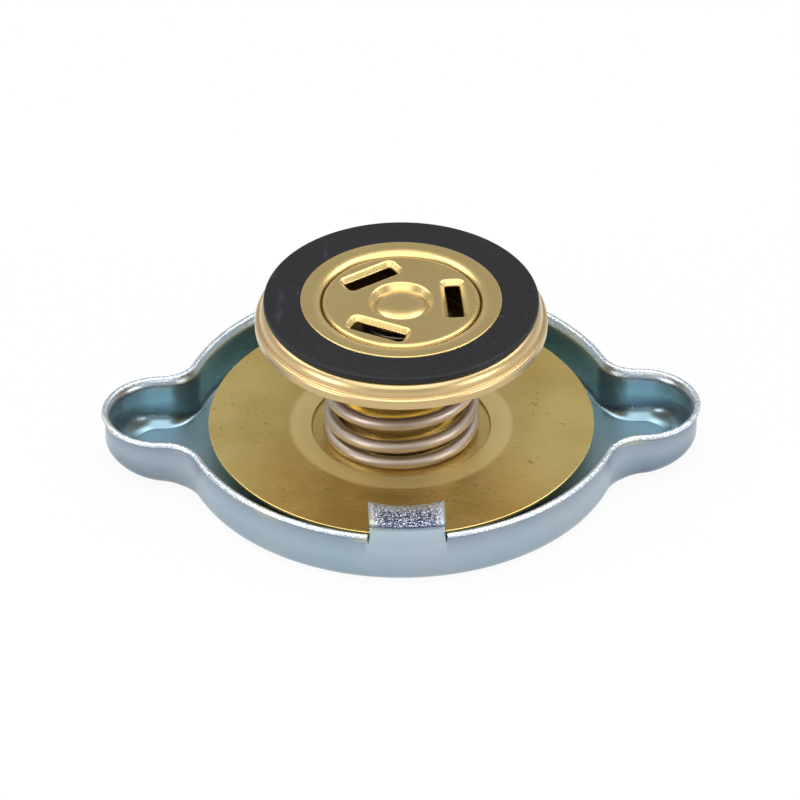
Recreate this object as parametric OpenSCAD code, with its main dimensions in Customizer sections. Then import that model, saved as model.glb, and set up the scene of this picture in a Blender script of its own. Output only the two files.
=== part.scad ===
// Pressure cap for a vehicle radiator, lying on its crown with the seal on top.
// Millimetres. The origin is the middle of the crown's outer face, +Z points at the seal,
// the two ears lie along X and the two bayonet lugs along Y.

/* [Shell] */
// Thickness of the pressed steel sheet
sheet_t = 0.9; // [0.7:0.05:1.1]
// Radius of the round body at its outer wall
body_r = 33.7; // [32:0.1:35]
// Height of the wall from the crown to the top of the rim
wall_h = 9.15; // [8.8:0.05:10.5]
// Outer radius of the bend between crown and wall
crown_bend_r = 2.3; // [1.5:0.1:3.5]
// Radius of the bend that turns the rim outwards
rim_bend_r = 0.8; // [0.5:0.05:1.2]
// Angle by which the rim turns outwards
rim_angle = 42; // [20:1:55]
// Length of the straight lip at the rim
rim_lip = 0.7; // [0.3:0.05:1]

/* [Ears] */
// Radius of an ear at its outer wall
ear_r = 8.7; // [7.5:0.1:9.5]
// How far an ear's centre lies outside the body's wall
ear_out = 3; // [2:0.1:5]

/* [Lugs] */
// Width of a bayonet lug
lug_w = 11.6; // [9:0.2:12]
// How far the middle of a lug reaches in from the wall's inner face
lug_reach = 4.4; // [3:0.1:4.8]
// Radius of the hollow in a lug's inner edge
lug_hollow_r = 13.6; // [6.5:0.1:16]
// Height of a lug's top above the rim
lug_rise = 1.65; // [1.2:0.05:2.2]
// Outer radius of a lug's bend
lug_bend_r = 1.5; // [1.2:0.1:2]
// Width of the relief notch on each side of a lug
relief_w = 0.4; // [0.3:0.1:2]
// Depth of the relief notches below the flared part of the rim
relief_d = 0.2; // [0.1:0.05:1]

/* [Crown boss] */
// Height of the boss that carries the valve, above the crown's outer face
boss_h = 4.6; // [4.2:0.1:5]
// Radius of the boss's flat top
boss_r = 12.5; // [11:0.1:13]
// Angle of the boss's side
boss_angle = 55; // [40:1:70]
// Bend radius of the boss's sheet
boss_bend_r = 1; // [0.6:0.1:1.4]

/* [Spring disc] */
// Thickness of the disc
disc_t = 0.5; // [0.4:0.05:0.7]
// Outer radius of the disc
disc_r = 29.6; // [28:0.1:30.2]
// Radius of the flat seat under the spring
disc_seat_r = 13.6; // [13.2:0.1:14.5]
// Radius at which the step up from the seat ends
disc_step_r = 16.9; // [16:0.1:20]
// Height of the step above the seat
disc_step_h = 0.55; // [0.3:0.05:0.8]
// Height of the disc's edge above the seat
disc_edge_h = 1.2; // [0.9:0.05:1.5]

/* [Rivet] */
// Radius of the rivet's shank
rivet_r = 2.5; // [2:0.1:3]
// Radius of the rivet's heads
rivet_head_r = 4.2; // [3.8:0.1:5]
// Height of the rivet's heads
rivet_head_h = 1.5; // [1.2:0.1:2]

/* [Guide tube] */
// Outer radius of the guide tube
guide_r = 8.9; // [8.6:0.1:9.3]
// Thickness of its wall
guide_t = 0.5; // [0.4:0.05:0.6]
// Outer radius of its two bends
guide_bend_r = 0.9; // [0.7:0.05:1.2]

/* [Pressure spring] */
// Diameter of the spring's wire
spring_wire = 2.1; // [1.8:0.05:2.2]
// Outer diameter of the spring
spring_od = 23.9; // [23.4:0.1:24.6]
// Length of the spring between its seats
spring_l = 16.4; // [15:0.1:18]
// Pitch of the open coils
spring_pitch = 4.15; // [3.6:0.05:4.6]
// Angle at which the wire starts
spring_start = 112; // [0:1:359]
// Travel of the valve against the spring
valve_travel = 5; // [3:0.1:5]

/* [Valve cup] */
// Thickness of the valve's brass sheet
valve_t = 0.5; // [0.4:0.05:0.6]
// Inner radius of the cup
cup_r = 12.15; // [12:0.05:13]
// Depth of the cup from its flange to the underside of its floor
cup_h = 7.45; // [7:0.1:9]
// Outer radius of the cup's flange
flange_r = 15.4; // [15:0.1:17]
// Radius of the bend under the flange
flange_bend_r = 0.9; // [0.5:0.05:0.9]
// Bend radius at the cup's floor
cup_bend_r = 0.9; // [0.7:0.05:1.2]
// Radius of the bead that holds the plate
bead_r = 0.4; // [0.2:0.05:0.5]

/* [Valve stem] */
// Outer radius of the hollow stem
stem_r = 6.3; // [5.6:0.1:6.6]
// Outer radius of the stem's upper flange, the seat of the vacuum valve
stem_seat_r = 8.2; // [7.8:0.1:8.6]

/* [Valve plate] */
// Radius of the plate's upper wall
plate_r = 21.6; // [21.4:0.1:21.9]
// Radius of the plate's lower lip
plate_lip_r = 22.3; // [22.1:0.05:23]
// Depth of the step below the plate's top
plate_step_h = 2.1; // [1.8:0.1:2.6]
// Whole height of the plate
plate_h = 3.7; // [3.2:0.1:4.5]
// Radius of the plate's shoulder
plate_shoulder_r = 0.9; // [0.6:0.05:1.2]
// Radius of the lip's upper edge
plate_lip_edge_r = 0.5; // [0.2:0.05:0.6]

/* [Seal] */
// Outer radius of the rubber seal
seal_r = 21; // [20:0.1:21.3]
// Thickness of the seal
seal_t = 1.1; // [1:0.05:1.6]
// Depth to which the cup's flange is pressed into the seal
seal_sink = 0.4; // [0.1:0.05:0.45]
// Radius of the seal's outer edges
seal_edge_r = 0.3; // [0.1:0.05:0.45]

/* [Slotted cover] */
// Thickness of the cover
cover_t = 0.4; // [0.3:0.05:0.5]
// Distance of the cover below the cup's flange
cover_drop = 0.3; // [0.1:0.05:0.6]
// Outer radius of the cover's edge
cover_edge_r = 0.8; // [0.6:0.05:1]
// Height of the cover's skirt
cover_h = 2; // [1.5:0.1:3]
// Number of slots
slot_count = 3; // [2:1:4]
// Length of a slot
slot_l = 8.4; // [6:0.1:8.6]
// Width of a slot
slot_w = 2.2; // [1.8:0.1:2.6]
// Width of the sloping margin round a slot
slot_margin = 0.9; // [0.4:0.05:0.9]
// Depth of the sloping margin
slot_sink = 0.8; // [0.3:0.05:0.8]
// Distance of the slots from the middle
slot_at = 8.1; // [8:0.05:8.6]
// Angle of the first slot
slot_turn = 3; // [-60:0.5:60]
// Outer radius of the dimple
dimple_r = 4.95; // [4.5:0.05:5]
// Radius of the dome in the dimple
dome_r = 4; // [3:0.05:4.2]
// Depth of the dimple
dimple_h = 0.95; // [0.5:0.05:1]
// Height of the dome above the dimple's floor
dome_h = 0.75; // [0.2:0.05:0.8]

/* [Vacuum valve] */
// Radius of the vacuum valve
vacuum_r = 8.2; // [7.6:0.1:8.8]
// Thickness of its plate
vacuum_t = 0.5; // [0.4:0.05:0.7]
// Thickness of its rubber washer
washer_t = 1; // [0.8:0.05:1.2]
// Radius of its spigot
spigot_r = 1.5; // [1.2:0.1:2]
// Radius of the spigot's clinched head
spigot_head_r = 2.8; // [2.4:0.1:3.4]
// Height of the step that centres its spring
vacuum_step_h = 0.4; // [0.2:0.05:0.6]
// Mean radius of its spring
vacuum_spring_r = 5.65; // [5.5:0.05:5.8]
// Diameter of its spring's wire
vacuum_wire = 0.5; // [0.4:0.05:0.55]
// Pitch of its spring's open coils
vacuum_pitch = 1.3; // [1.1:0.05:1.5]

/* [Clearances] */
// Gap round the rivet in the pieces that turn on it
rivet_gap = 0.06; // [0.03:0.01:0.1]
// Gap between pieces that are pressed together
press_gap = 0.03; // [0.02:0.01:0.06]
// Gap between pieces that slide in each other
slide_gap = 0.25; // [0.15:0.05:0.3]
// Room left below the valve cup at the end of its travel
travel_gap = 0.5; // [0.3:0.1:1]
// Gap between neighbouring coils at a closed end of a spring
coil_gap = 0.1; // [0.05:0.05:0.2]

/* [Hidden] */
$fn = 96;
arc_steps = 6;
// Overlap by which one solid runs into another of the same piece, or a cutter out of it
overlap = 0.5;
// Multiple of the way from the middle to a fillet at which the plan's wedge is well clear of the wall
far = 4;

steel = "#A9BAC4";
brass = "#C2A457";
wire_steel = "#A89C90";
rubber = "#37363A";

ear_x = body_r + ear_out;
// The concave fillet beside an ear touches the body and the ear, and its centre is abreast of the ear's
fillet_r = (ear_x * ear_x + ear_r * ear_r - body_r * body_r) / (2 * (body_r - ear_r));
fillet_y = ear_r + fillet_r;
span = 2 * (ear_x + ear_r);

rim_z = wall_h - (rim_bend_r + sheet_t) * sin(rim_angle) - rim_lip * cos(rim_angle);
relief_z = rim_z - relief_d;
lug_top = wall_h + lug_rise;
lug_edge_y = body_r - sheet_t - lug_reach;
lug_hollow_y = lug_edge_y - lug_hollow_r;

boss_mid_r = boss_bend_r + sheet_t / 2;
boss_side_h = boss_h - sheet_t - 2 * boss_mid_r * (1 - cos(boss_angle));
boss_foot_r = boss_r + 2 * boss_mid_r * sin(boss_angle) + boss_side_h / tan(boss_angle);

rivet_hole_r = rivet_r + rivet_gap;
seat_z = boss_h + disc_t;
spring_r = (spring_od - spring_wire) / 2;
cup_z = seat_z + spring_l;
cup_floor_z = cup_z + valve_t;
guide_top = cup_z - valve_travel - travel_gap;
stem_low_z = guide_top - guide_t - press_gap - valve_t;
stem_foot_r = guide_r - guide_t - slide_gap;
stem_seat_z = cup_floor_z + valve_t;

flange_z = cup_z + cup_h - valve_t;
flange_top = cup_z + cup_h;
flange_bend_x = cup_r + valve_t + flange_bend_r;
seal_top = flange_z + seal_sink;
plate_top = seal_top - seal_t;
bead_z = plate_top - valve_t - press_gap - bead_r;

cover_top = flange_top - cover_drop;
cover_r = cup_r - press_gap;

washer_z = stem_seat_z;
vacuum_z = washer_z + washer_t;
vacuum_top = vacuum_z + vacuum_t;
vacuum_step_r = vacuum_spring_r - vacuum_wire / 2 - slide_gap;

// Points of an arc about (x, y) from angle a to angle b
function arc(x, y, r, a, b) =
    [for (i = [0 : arc_steps]) let (t = a + (b - a) * i / arc_steps) [x + r * cos(t), y + r * sin(t)]];

// Points on a grid of 0.001 mm, so that neighbouring sectors of the shell share their corners
function snapped(points) = [for (p = points) [round(p.x * 1000) / 1000, round(p.y * 1000) / 1000]];

// Half of a rivet head's outline, from its edge at (r, 0) to its top at (0, h)
function dome(r, h) =
    let (s = (r * r + h * h) / (2 * h), edge = asin((s - h) / s)) arc(0, h - s, s, edge, 90);

function raised(points, z) = [for (p = points) [p.x, p.y + z]];
function flipped(points) = [for (p = points) [p.x, -p.y]];
function reversed(points) = [for (i = [len(points) - 1 : -1 : 0]) points[i]];

// Section of the crown and wall: x is measured outwards from the wall's outer face
function wall_section(reach) = snapped(concat(
    [[-reach, 0]],
    arc(-crown_bend_r, crown_bend_r, crown_bend_r, -90, 0),
    arc(rim_bend_r, rim_z, rim_bend_r, 180, 180 - rim_angle),
    [rim_edge(0), rim_edge(sheet_t)],
    arc(rim_bend_r, rim_z, rim_bend_r + sheet_t, 180 - rim_angle, 180),
    arc(-crown_bend_r, crown_bend_r, crown_bend_r - sheet_t, 0, -90),
    [[-reach, sheet_t]]));

// Corner of the rim's lip, at a depth into the sheet from its outer face
function rim_edge(depth) = [
    rim_bend_r - (rim_bend_r + depth) * cos(rim_angle) + rim_lip * sin(rim_angle),
    rim_z + (rim_bend_r + depth) * sin(rim_angle) + rim_lip * cos(rim_angle)];

// Wedge of the plan between the two lines from the middle to the fillets, on the +Y side
module body_sector() {
    intersection() {
        rotate_extrude() polygon([for (p = wall_section(body_r)) [body_r + p.x, p.y]]);
        translate([0, 0, -overlap])
            linear_extrude(wall_h + 2 * overlap)
                polygon([[0, 0], far * [ear_x, fillet_y], far * [-ear_x, fillet_y]]);
    }
}

// Triangle of the plan between the middle, an ear's centre and a fillet's centre
module fillet_sector() {
    intersection() {
        translate([ear_x, fillet_y])
            rotate_extrude() polygon([for (p = wall_section(span)) [fillet_r - p.x, p.y]]);
        translate([0, 0, -overlap])
            linear_extrude(wall_h + 2 * overlap) polygon([[0, 0], [ear_x, 0], [ear_x, fillet_y]]);
    }
}

module ear_sector() {
    intersection() {
        translate([ear_x, 0]) rotate_extrude() polygon([for (p = wall_section(ear_r)) [ear_r + p.x, p.y]]);
        translate([ear_x, -span / 2, -overlap]) cube([span, span, wall_h + 2 * overlap]);
    }
}

module shell_pan() {
    for (side = [0, 1]) {
        mirror([0, side, 0]) body_sector();
        mirror([side, 0, 0]) ear_sector();
        for (end = [0, 1])
            mirror([end, 0, 0]) mirror([0, side, 0]) fillet_sector();
    }
}

// Bent tongue of the wall that hooks under the filler neck
module lug() {
    bend_x = body_r - lug_bend_r;
    bend_z = lug_top - lug_bend_r;
    difference() {
        intersection() {
            rotate_extrude()
                polygon(concat(
                    [[body_r, relief_z]],
                    arc(bend_x, bend_z, lug_bend_r, 0, 90),
                    [[lug_hollow_y, lug_top], [lug_hollow_y, lug_top - sheet_t]],
                    arc(bend_x, bend_z, lug_bend_r - sheet_t, 90, 0),
                    [[body_r - sheet_t, relief_z]]));
            translate([-lug_w / 2, 0, 0]) cube([lug_w, body_r + overlap, lug_top + overlap]);
        }
        translate([0, lug_hollow_y]) cylinder(r = lug_hollow_r, h = lug_top + overlap);
    }
}

module lug_gap() {
    translate([-lug_w / 2 - relief_w, lug_edge_y, relief_z])
        cube([lug_w + 2 * relief_w, body_r, wall_h - relief_z + overlap]);
}

// Sheet of the crown pressed inwards to carry the rivet
module boss() {
    foot_z = sheet_t + boss_bend_r;
    top_z = boss_h - sheet_t - boss_bend_r;
    rotate_extrude()
        polygon(concat(
            [[boss_foot_r + overlap, 0]],
            arc(boss_foot_r, foot_z, boss_bend_r + sheet_t, -90, -90 - boss_angle),
            arc(boss_r, top_z, boss_bend_r, 90 - boss_angle, 90),
            [[rivet_hole_r, boss_h - sheet_t], [rivet_hole_r, boss_h]],
            arc(boss_r, top_z, boss_bend_r + sheet_t, 90, 90 - boss_angle),
            arc(boss_foot_r, foot_z, boss_bend_r, -90 - boss_angle, -90),
            [[boss_foot_r + overlap, sheet_t]]));
}

// Crown, wall, ears, lugs and boss, one steel pressing
module cap_shell() {
    color(steel) {
        difference() {
            shell_pan();
            translate([0, 0, -overlap]) cylinder(r = boss_foot_r, h = sheet_t + 2 * overlap);
            for (side = [0, 1])
                mirror([0, side, 0]) lug_gap();
        }
        boss();
        for (side = [0, 1])
            mirror([0, side, 0]) lug();
    }
}

// Rivet through boss, disc and guide tube, with a domed head at each end
module centre_rivet() {
    low = boss_h - sheet_t - press_gap;
    high = seat_z + guide_t + press_gap;
    color(steel)
        rotate_extrude()
            polygon(concat(
                reversed(raised(flipped(dome(rivet_head_r, rivet_head_h)), low)),
                [[rivet_r, low], [rivet_r, high]],
                raised(dome(rivet_head_r, rivet_head_h), high)));
}

// Dished brass disc that closes on the filler neck's rim
module spring_disc() {
    top = [
        [rivet_hole_r, seat_z],
        [disc_seat_r, seat_z],
        [disc_step_r, seat_z + disc_step_h],
        [disc_r, seat_z + disc_edge_h]];
    color(brass) rotate_extrude() polygon(concat(top, reversed(raised(top, -disc_t))));
}

// Drawn brass tube inside the spring, with its mouth turned in over the stem's foot
module guide_tube() {
    bend_x = guide_r - guide_bend_r;
    low_z = seat_z + guide_bend_r;
    high_z = guide_top - guide_bend_r;
    mouth_r = stem_r + slide_gap;
    color(brass)
        rotate_extrude()
            polygon(concat(
                [[rivet_hole_r, seat_z]],
                arc(bend_x, low_z, guide_bend_r, -90, 0),
                arc(bend_x, high_z, guide_bend_r, 0, 90),
                [[mouth_r, guide_top], [mouth_r, guide_top - guide_t]],
                arc(bend_x, high_z, guide_bend_r - guide_t, 90, 0),
                arc(bend_x, low_z, guide_bend_r - guide_t, 0, -90),
                [[rivet_hole_r, seat_z + guide_t]]));
}

// Coil spring with closed, ground ends: one turn at each end lies close, the rest at the open pitch
module coil_spring(r, wire, low, high, pitch, start, sides, steps) {
    closed = wire + coil_gap;
    turns = 2 + (high - low - 2 * closed) / pitch;
    rings = ceil(turns * steps);
    function wire_z(u) =
        low + closed * (min(u, 1) + max(u - turns + 1, 0)) + pitch * (min(max(u, 1), turns - 1) - 1);
    points = [
        for (i = [0 : rings], k = [0 : sides - 1])
            let (
                u = turns * i / rings,
                turn = start + 360 * u,
                lean = 360 * k / sides,
                out = r + wire / 2 * cos(lean),
                z = wire_z(u) + wire / 2 * sin(lean))
            [out * cos(turn), out * sin(turn), min(max(z, low), high)]];
    skin = [
        for (i = [0 : rings - 1], k = [0 : sides - 1])
            let (a = i * sides + k, b = i * sides + (k + 1) % sides)
            each [[a, b, b + sides], [a, b + sides, a + sides]]];
    crest = floor(sides / 4);
    trough = crest + floor(sides / 2);
    end = rings * sides;
    first = [for (k = [1 : sides - 2]) [crest, (crest + k + 1) % sides, (crest + k) % sides]];
    last = [
        for (k = [1 : sides - 2])
            [end + trough, end + (trough + k) % sides, end + (trough + k + 1) % sides]];
    polyhedron(points, concat(first, skin, last));
}

// Steel spring that presses the valve on its seat
module pressure_spring() {
    color(wire_steel)
        coil_spring(spring_r, spring_wire, seat_z, cup_z, spring_pitch, spring_start, sides = 10, steps = 26);
}

// Hollow brass stem: its foot slides in the guide tube and its upper flange seats the vacuum valve
module valve_stem() {
    bore_r = stem_r - valve_t;
    color(brass)
        rotate_extrude()
            polygon([
                [bore_r, stem_low_z], [stem_foot_r, stem_low_z],
                [stem_foot_r, stem_low_z + valve_t], [stem_r, stem_low_z + valve_t],
                [stem_r, cup_floor_z], [stem_seat_r, cup_floor_z],
                [stem_seat_r, stem_seat_z], [bore_r, stem_seat_z]]);
}

// Flanged brass cup that clamps the seal on the plate and takes the spring's thrust
module valve_cup() {
    hole_r = stem_r + press_gap;
    outer_r = cup_r + valve_t;
    bend_x = outer_r - cup_bend_r;
    bend_z = cup_z + cup_bend_r;
    roll_z = flange_z - flange_bend_r;
    color(brass)
        rotate_extrude()
            polygon(concat(
                [[hole_r, cup_z]],
                arc(bend_x, bend_z, cup_bend_r, -90, 0),
                arc(outer_r, bead_z, bead_r, -90, 90),
                arc(flange_bend_x, roll_z, flange_bend_r, 180, 90),
                [[flange_r, flange_z], [flange_r, flange_top]],
                arc(flange_bend_x, roll_z, flange_bend_r + valve_t, 90, 180),
                arc(cup_r, bead_z, bead_r, 90, -90),
                arc(bend_x, bend_z, cup_bend_r - valve_t, 0, -90),
                [[hole_r, cup_floor_z]]));
}

// Stepped brass plate under the seal
module valve_plate() {
    hole_r = cup_r + valve_t + press_gap;
    shoulder_x = plate_r - plate_shoulder_r;
    shoulder_z = plate_top - plate_shoulder_r;
    step_z = plate_top - plate_step_h;
    lip_x = plate_lip_r - plate_lip_edge_r;
    low_z = plate_top - plate_h;
    color(brass)
        rotate_extrude()
            polygon(concat(
                [[hole_r, plate_top - valve_t], [hole_r, plate_top]],
                arc(shoulder_x, shoulder_z, plate_shoulder_r, 90, 0),
                [[plate_r, step_z]],
                arc(lip_x, step_z - plate_lip_edge_r, plate_lip_edge_r, 90, 0),
                [[plate_lip_r, low_z], [plate_lip_r - valve_t, low_z]],
                [[plate_lip_r - valve_t, step_z - valve_t], [plate_r - valve_t, step_z - valve_t]],
                arc(shoulder_x, shoulder_z, plate_shoulder_r - valve_t, 0, 90)));
}

// Rubber ring that seats in the filler neck
module seal_ring() {
    edge_x = seal_r - seal_edge_r;
    inner_r = flange_bend_x;
    sink_r = flange_r + press_gap;
    color(rubber)
        rotate_extrude()
            polygon(concat(
                [[inner_r, plate_top]],
                arc(edge_x, plate_top + seal_edge_r, seal_edge_r, -90, 0),
                arc(edge_x, seal_top - seal_edge_r, seal_edge_r, 0, 90),
                [[sink_r, seal_top], [sink_r, flange_z], [inner_r, flange_z]]));
}

// Block that tapers downwards from one rectangle to a smaller one
module tapered_block(top, low, h) {
    corners = [[-1, -1], [1, -1], [1, 1], [-1, 1]];
    function ring(size, z) = [for (c = corners) [c.x * size.x / 2, c.y * size.y / 2, z]];
    polyhedron(
        concat(ring(low, -h), ring(top, 0)),
        [[0, 1, 2, 3], [7, 6, 5, 4], for (i = [0 : 3]) [i, i + 4, (i + 1) % 4 + 4, (i + 1) % 4]]);
}

// Brass cover of the vacuum valve: a shallow cup with dished slots and a domed dimple
module slotted_cover() {
    edge_x = cover_r - cover_edge_r;
    edge_z = cover_top - cover_edge_r;
    low_z = cover_top - cover_h;
    pressed = concat(
        reversed(raised(dome(dome_r, dome_h), cover_top - dimple_h)),
        [[dimple_r, cover_top]]);
    opening = [slot_w, slot_l];
    margin = opening + 2 * [slot_margin, slot_margin];
    color(brass)
        difference() {
            union() {
                rotate_extrude()
                    polygon(concat(
                        pressed,
                        arc(edge_x, edge_z, cover_edge_r, 90, 0),
                        [[cover_r, low_z], [cover_r - cover_t, low_z]],
                        arc(edge_x, edge_z, cover_edge_r - cover_t, 0, 90),
                        reversed(raised(pressed, -cover_t))));
                slots() translate([0, 0, -cover_t]) tapered_block(margin, opening, slot_sink);
            }
            slots() {
                tapered_block(margin, opening, slot_sink);
                translate([-slot_w / 2, -slot_l / 2, -cover_t - 2 * slot_sink])
                    cube([slot_w, slot_l, cover_t + 3 * slot_sink]);
            }
        }
}

module slots() {
    for (i = [0 : slot_count - 1])
        rotate(slot_turn + 360 * i / slot_count) translate([slot_at, 0, cover_top]) children();
}

// Brass disc of the vacuum valve, with a spigot clinched under its washer
module vacuum_valve() {
    head_z = washer_z - vacuum_t;
    color(brass)
        rotate_extrude()
            polygon([
                [0, head_z], [spigot_head_r, head_z], [spigot_head_r, washer_z], [spigot_r, washer_z],
                [spigot_r, vacuum_z], [vacuum_r, vacuum_z], [vacuum_r, vacuum_top],
                [vacuum_step_r, vacuum_top], [vacuum_step_r, vacuum_top + vacuum_step_h],
                [0, vacuum_top + vacuum_step_h]]);
}

// Rubber washer that seats on the stem's flange
module vacuum_seal() {
    color(rubber)
        translate([0, 0, washer_z])
            difference() {
                cylinder(r = vacuum_r, h = washer_t);
                translate([0, 0, -overlap]) cylinder(r = spigot_r + press_gap, h = washer_t + 2 * overlap);
            }
}

// Light spring that closes the vacuum valve
module vacuum_spring() {
    color(wire_steel)
        coil_spring(vacuum_spring_r, vacuum_wire, vacuum_top, cover_top - cover_t, vacuum_pitch,
                    start = 0, sides = 6, steps = 16);
}

cap_shell();
centre_rivet();
spring_disc();
guide_tube();
pressure_spring();
valve_stem();
valve_cup();
valve_plate();
seal_ring();
slotted_cover();
vacuum_valve();
vacuum_seal();
vacuum_spring();
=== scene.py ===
"""Looks of an eared radiator cap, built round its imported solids.

The cap lies on its crown with the valve on top. Lengths are written in millimetres and angles in
degrees; vertices are turned into metres when a piece is made. Lights are placed in metres.
"""

import math

import bpy
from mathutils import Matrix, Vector
from mathutils.geometry import delaunay_2d_cdt


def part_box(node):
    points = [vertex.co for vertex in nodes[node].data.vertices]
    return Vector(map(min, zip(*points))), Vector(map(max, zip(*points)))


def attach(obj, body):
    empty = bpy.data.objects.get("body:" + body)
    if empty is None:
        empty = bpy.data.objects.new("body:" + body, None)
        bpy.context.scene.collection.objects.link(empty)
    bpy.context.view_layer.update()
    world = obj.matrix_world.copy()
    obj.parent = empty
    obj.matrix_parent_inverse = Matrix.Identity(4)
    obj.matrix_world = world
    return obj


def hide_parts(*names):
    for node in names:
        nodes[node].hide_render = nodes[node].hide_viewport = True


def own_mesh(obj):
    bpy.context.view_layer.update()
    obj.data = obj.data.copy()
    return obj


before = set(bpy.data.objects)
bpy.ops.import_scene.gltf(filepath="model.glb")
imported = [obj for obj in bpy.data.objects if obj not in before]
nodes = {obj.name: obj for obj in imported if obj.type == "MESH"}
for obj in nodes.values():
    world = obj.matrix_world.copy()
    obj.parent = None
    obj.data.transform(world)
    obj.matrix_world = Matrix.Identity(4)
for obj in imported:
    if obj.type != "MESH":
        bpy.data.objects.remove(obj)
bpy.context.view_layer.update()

MM = 0.001


def levels(node):
    """Lowest and highest level of a CAD node and its reach along X, in millimetres."""
    low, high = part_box(node)
    return low.z / MM, high.z / MM, high.x / MM


# Sizes of the shell
SHEET_T = 0.9
BODY_R = 33.7
EAR_R = 8.7
EAR_X = 36.7
WALL_H = 9.15
BODY_BEND_R = 2.2
EAR_BEND_R = 2.9
EAR_TIP_BEND_R = 3.4
INNER_BEND_R = 0.6
INNER_TIP_BEND_R = 5.4
INNER_BEND_GROWTH = 1.5
INNER_CREASE = 22
EAR_SLOPE = 0.137
EAR_FLOOR_SLOPE = 0.06
EAR_SLOPE_FROM = 33.7
FILLET_STEPS = 30
EAR_STEPS = 84
FLOOR_SHARES = (0.03, 0.1, 0.18, 0.27, 0.36, 0.5, 0.75)
RIM_BEND_R = 0.8
RIM_ANGLE = 42
RIM_LIP = 0.7
RIM_EDGE_R = 0.3
RIM_INNER_EDGE_R = 1.7 * RIM_EDGE_R
LUG_EDGE_R = 0.16
LUG_PINCH = 0.35
LUG_W = 11.6
LUG_REACH = 4.4
LUG_HOLLOW_R = 13.6
LUG_BEND_R = 1.5
RELIEF_W = 0.2
RELIEF_D = 0.2
BOSS_R = 12.5
BOSS_ANGLE = 55
BOSS_BEND_R = 1.0
RIVET_HOLE_R = 2.56
LUG_TOP = levels("cap_shell")[1]

FILLET_R = (EAR_X**2 + EAR_R**2 - BODY_R**2) / (2 * (BODY_R - EAR_R))
FILLET_Y = EAR_R + FILLET_R
JUNCTION = math.degrees(math.atan2(FILLET_Y, EAR_X))
RIM_Z = (
    WALL_H
    - (RIM_BEND_R + SHEET_T) * math.sin(math.radians(RIM_ANGLE))
    - RIM_LIP * math.cos(math.radians(RIM_ANGLE))
)
RELIEF_Z = RIM_Z - RELIEF_D

# Finish of the shell's sheet: strain of the plate, share of the inner film with its painted
# reflection, dullness
INNER_LIP_FINISH = (0.3, 0.6, 0.0)
INNER_WALL_FINISH = (0.1, 1.0, 0.05)
INNER_BEND_FINISH = (0.15, 0.25, 0.1)
FLOOR_FINISH = (0.0, 0.6, 0.6)
BOSS_FINISH = (0.1, 0.0, 0.0)
CROWN_FINISH = (0.0, 0.0, 0.0)
OUTER_BEND_FINISH = (0.25, 0.0, 0.0)
OUTER_WALL_FINISH = (0.05, 0.0, 0.1)
OUTER_LIP_FINISH = (0.2, 0.0, 0.6)
LUG_LIP_FINISH = (0.2, 0.0, 0.15)
RIM_OUTER_FINISH = (0.45, 0.0, 0.6)
RIM_EDGE_FINISH = (1.0, 0.0, 0.0)
RIM_INNER_FINISH = (0.6, 0.0, 0.0)
LUG_UNDER_FINISH = (0.5, 0.0, 0.0)
EAR_GRAIN = 0.2
EAR_GRAIN_REACH = 5.0
LUG_STRAIN = 2.0
# The pinched sides and the edge of a lug get less strain, so their grain shows white: a painted
# highlight
LUG_SIDE_HIGHLIGHT_STRAIN = 0.8
LUG_EDGE_HIGHLIGHT_STRAIN = 1.0
LUG_FOOT_STRAIN = 0.3
LUG_FOOT_STEPS = 3

# Painted shade along a lug's fold: steps of the fold, with the film's share below 0 that darkens
# them
LUG_FOLD_SHADE = {3: -0.2, 4: -0.9, 5: -0.5}

# Sizes of the spring disc
DISC_LOW, DISC_TOP, DISC_R = levels("spring_disc")
DISC_T = 0.5
DISC_SEAT_R = 13.6
DISC_STEP_R = 16.9
DISC_STEP_H = 0.55
DISC_KERB_H = 0.4
DISC_KERB_W = 0.16
DISC_EDGE_R = 0.2
DISC_SEAT_BEND_R = 0.6
DISC_STEP_BEND_R = 1.2
DISC_STEP_EDGE_R = 0.8
DISC_KERB_EDGE_R = 0.08
DISC_KERB_FOOT_R = 0.06
SEAT_Z = DISC_LOW + DISC_T
BOSS_H = DISC_LOW

# Sizes of the pressure spring
SPRING_LOW, SPRING_TOP, _ = levels("pressure_spring")
SPRING_WIRE = 2.1
SPRING_R = 10.9
SPRING_PITCH = 4.15
SPRING_START = 112
COIL_GAP = 0.1

# Sizes of the valve
CUP_LOW, FLANGE_TOP, FLANGE_R = levels("valve_cup")
PLATE_LOW, PLATE_TOP, PLATE_LIP_R = levels("valve_plate")
SEAL_LOW, SEAL_TOP, SEAL_R = levels("seal_ring")
COVER_LOW, COVER_TOP, COVER_R = levels("slotted_cover")
VALVE_T = 0.5
CUP_R = 12.15
FLANGE_BEND_R = 0.9
FLANGE_EDGE_R = 0.12
ROLL_X = 14.2
ROLL_H = 1.25
ROLL_STEPS = 24
CUP_BEND_R = 0.9
CUP_HOLE_R = 6.33
BEAD_R = 0.4
CUP_SHADE_REACH = 0.25
PRESS_GAP = 0.03
PLATE_R = 21.6
PLATE_STEP_H = 2.1
PLATE_SHOULDER_R = 1.6
PLATE_LIP_EDGE_R = 0.55
PLATE_EDGE_R = 0.12
PLATE_CORNER_R = 0.12
PLATE_INNER_CORNER_R = 0.1
SEAL_EDGE_R = 0.35
SEAL_INNER_EDGE_R = 0.1
FLANGE_Z = FLANGE_TOP - VALVE_T
FLANGE_BEND_X = CUP_R + VALVE_T + FLANGE_BEND_R

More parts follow.
